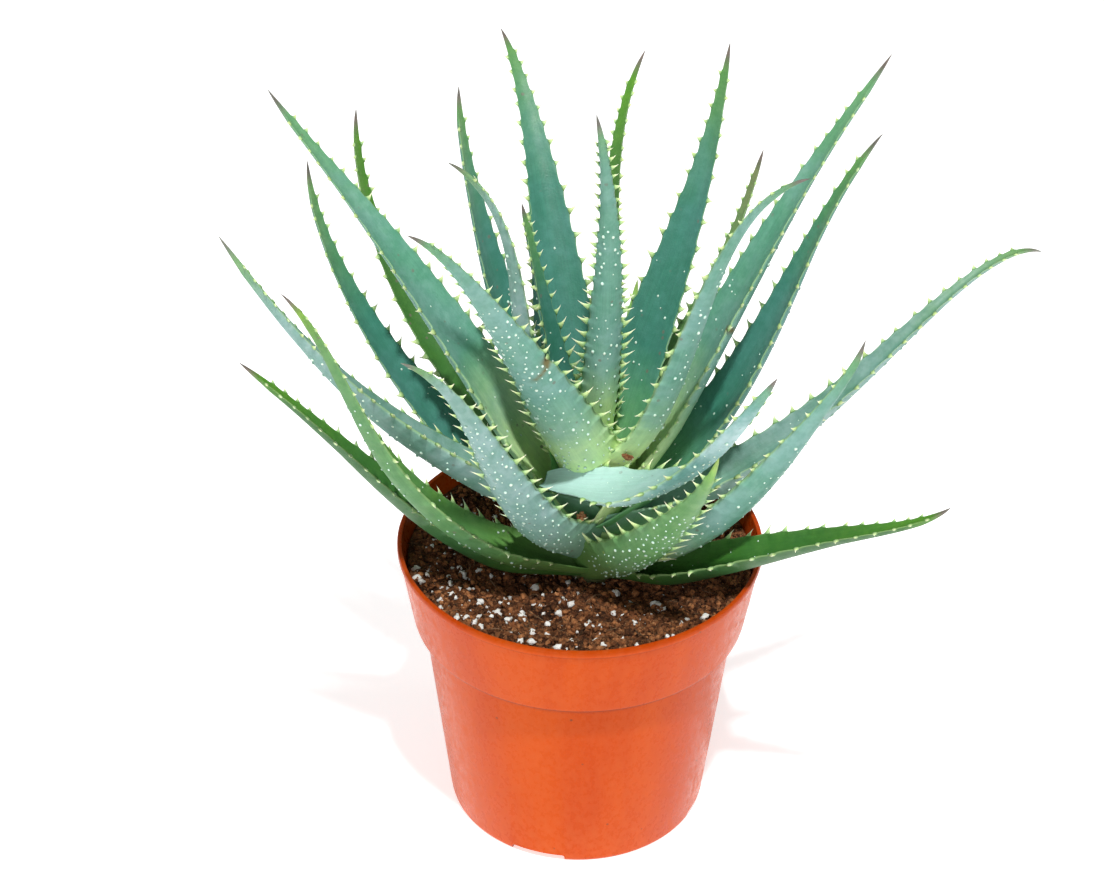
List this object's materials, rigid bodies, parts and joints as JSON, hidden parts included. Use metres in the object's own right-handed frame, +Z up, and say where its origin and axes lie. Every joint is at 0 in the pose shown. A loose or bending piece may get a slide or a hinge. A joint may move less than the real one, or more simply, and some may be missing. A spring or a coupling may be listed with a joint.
{
  "type": "potted aloe plant",
  "caption": "Young spiny aloe rosette in potting soil with perlite, in a plain tapered orange plastic nursery pot with a collar rim.",
  "frame": {"origin": "centre of the pot's underside, on the plane that it stands on", "axes": "+Z up through the pot's mouth; -Y is the front, where the rim stands free of leaves; +X is to the right seen from the front"},
  "size_m": [0.2807, 0.2023, 0.2971],
  "materials": {
    "pot_plastic": "satin",
    "potting_soil": "matte",
    "stem_skin": "satin",
    "old_leaf": "satin",
    "leaf": "satin",
    "young_leaf": "satin"
  },
  "bodies": {
    "root": {"pot": "pot_plastic", "soil": "potting_soil", "stem": "stem_skin", "leaf_01": "old_leaf", "leaf_02": "old_leaf", "leaf_03": "old_leaf", "leaf_04": "old_leaf", "leaf_05": "old_leaf", "leaf_06": "old_leaf", "leaf_07": "old_leaf", "leaf_08": "old_leaf", "leaf_09": "leaf", "leaf_10": "leaf", "leaf_11": "leaf", "leaf_12": "leaf", "leaf_13": "leaf", "leaf_14": "leaf", "leaf_15": "leaf", "leaf_16": "leaf", "leaf_17": "leaf", "leaf_18": "leaf", "leaf_19": "leaf", "leaf_20": "leaf", "leaf_21": "young_leaf", "leaf_22": "young_leaf", "leaf_23": "young_leaf", "leaf_24": "young_leaf", "leaf_25": "young_leaf", "leaf_26": "young_leaf", "leaf_27": "young_leaf", "leaf_28": "young_leaf"}
  },
  "joints": []
}
